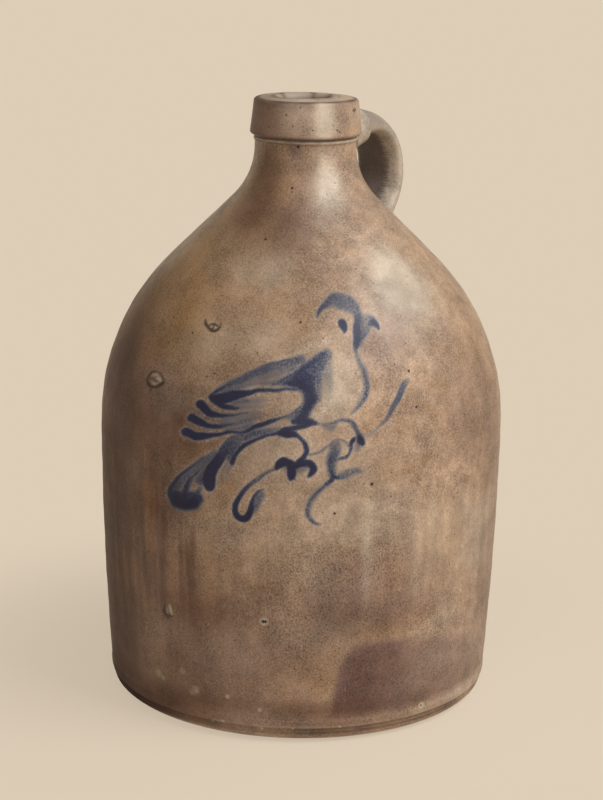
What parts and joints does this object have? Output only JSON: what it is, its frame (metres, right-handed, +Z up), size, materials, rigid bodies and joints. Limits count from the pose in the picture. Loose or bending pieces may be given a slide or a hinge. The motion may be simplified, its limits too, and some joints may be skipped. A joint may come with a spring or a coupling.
{
  "type": "jug",
  "caption": "Tall round stoneware jug with a domed shoulder, a narrow collared mouth and a strap handle luted to neck and shoulder, for storing and pouring liquids.",
  "frame": {"origin": "centre of the foot, on the surface that the jug stands on", "axes": "+Z up along the axis of the pot, +X towards the handle"},
  "size_m": [0.229, 0.229, 0.34],
  "materials": {
    "body_glaze": "salt glaze, softly glossy, mottled tan brown with cobalt brushwork on one side",
    "collar_glaze": "salt glaze, softly glossy, light tan",
    "handle_glaze": "salt glaze, softly glossy, pale grey tan",
    "luting_glaze": "salt glaze over thumbed clay",
    "brown_slip": "gloss"
  },
  "bodies": {
    "root": {"thrown_body": "body_glaze", "mouth_collar": "collar_glaze", "strap_handle": "handle_glaze", "upper_luting": "luting_glaze", "lower_luting": "luting_glaze", "slip_lining": "brown_slip"}
  },
  "joints": []
}
